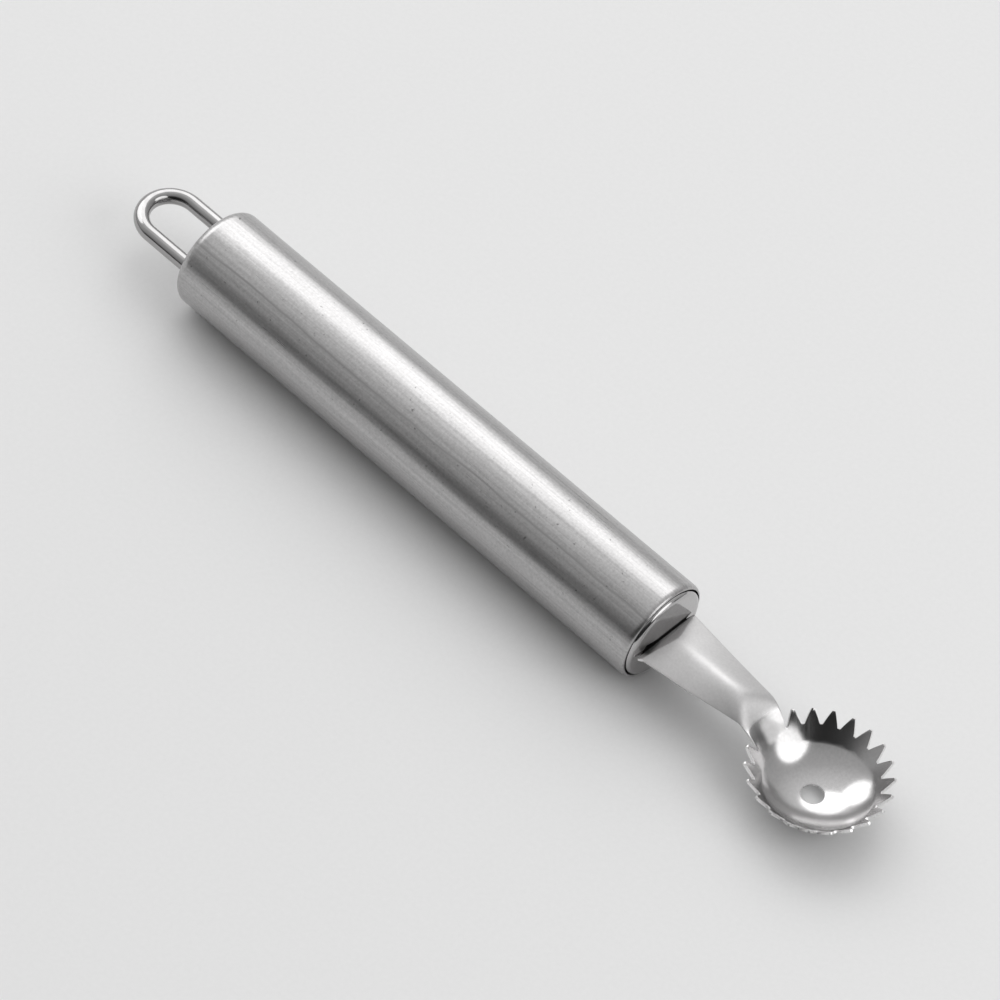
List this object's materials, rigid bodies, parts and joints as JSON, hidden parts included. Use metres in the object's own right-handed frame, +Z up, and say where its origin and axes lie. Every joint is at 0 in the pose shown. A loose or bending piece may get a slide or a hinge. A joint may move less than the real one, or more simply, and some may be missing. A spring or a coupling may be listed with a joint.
{
  "type": "strawberry huller",
  "caption": "Steel tube handle with a wire hanging loop and a stamped scoop whose round bowl has a toothed rim and a drain hole, for cutting the hull out of strawberries.",
  "frame": {"origin": "middle of the bounding box, on the surface that the handle lies on", "axes": "+X along the handle towards the bowl, +Z up, out of the open bowl"},
  "size_m": [0.1812, 0.0274, 0.02],
  "materials": {
    "satin_steel": "fine lengthwise satin polish",
    "polished_steel": "bright pressed and polished",
    "bright_wire": "bright drawn wire",
    "stamped_steel": "tumbled satin stamping with bright cut edges"
  },
  "bodies": {
    "root": {"handle_tube": "satin_steel", "front_cap": "polished_steel", "rear_cap": "polished_steel", "hanging_loop": "bright_wire", "serrated_scoop": "stamped_steel"}
  },
  "joints": []
}
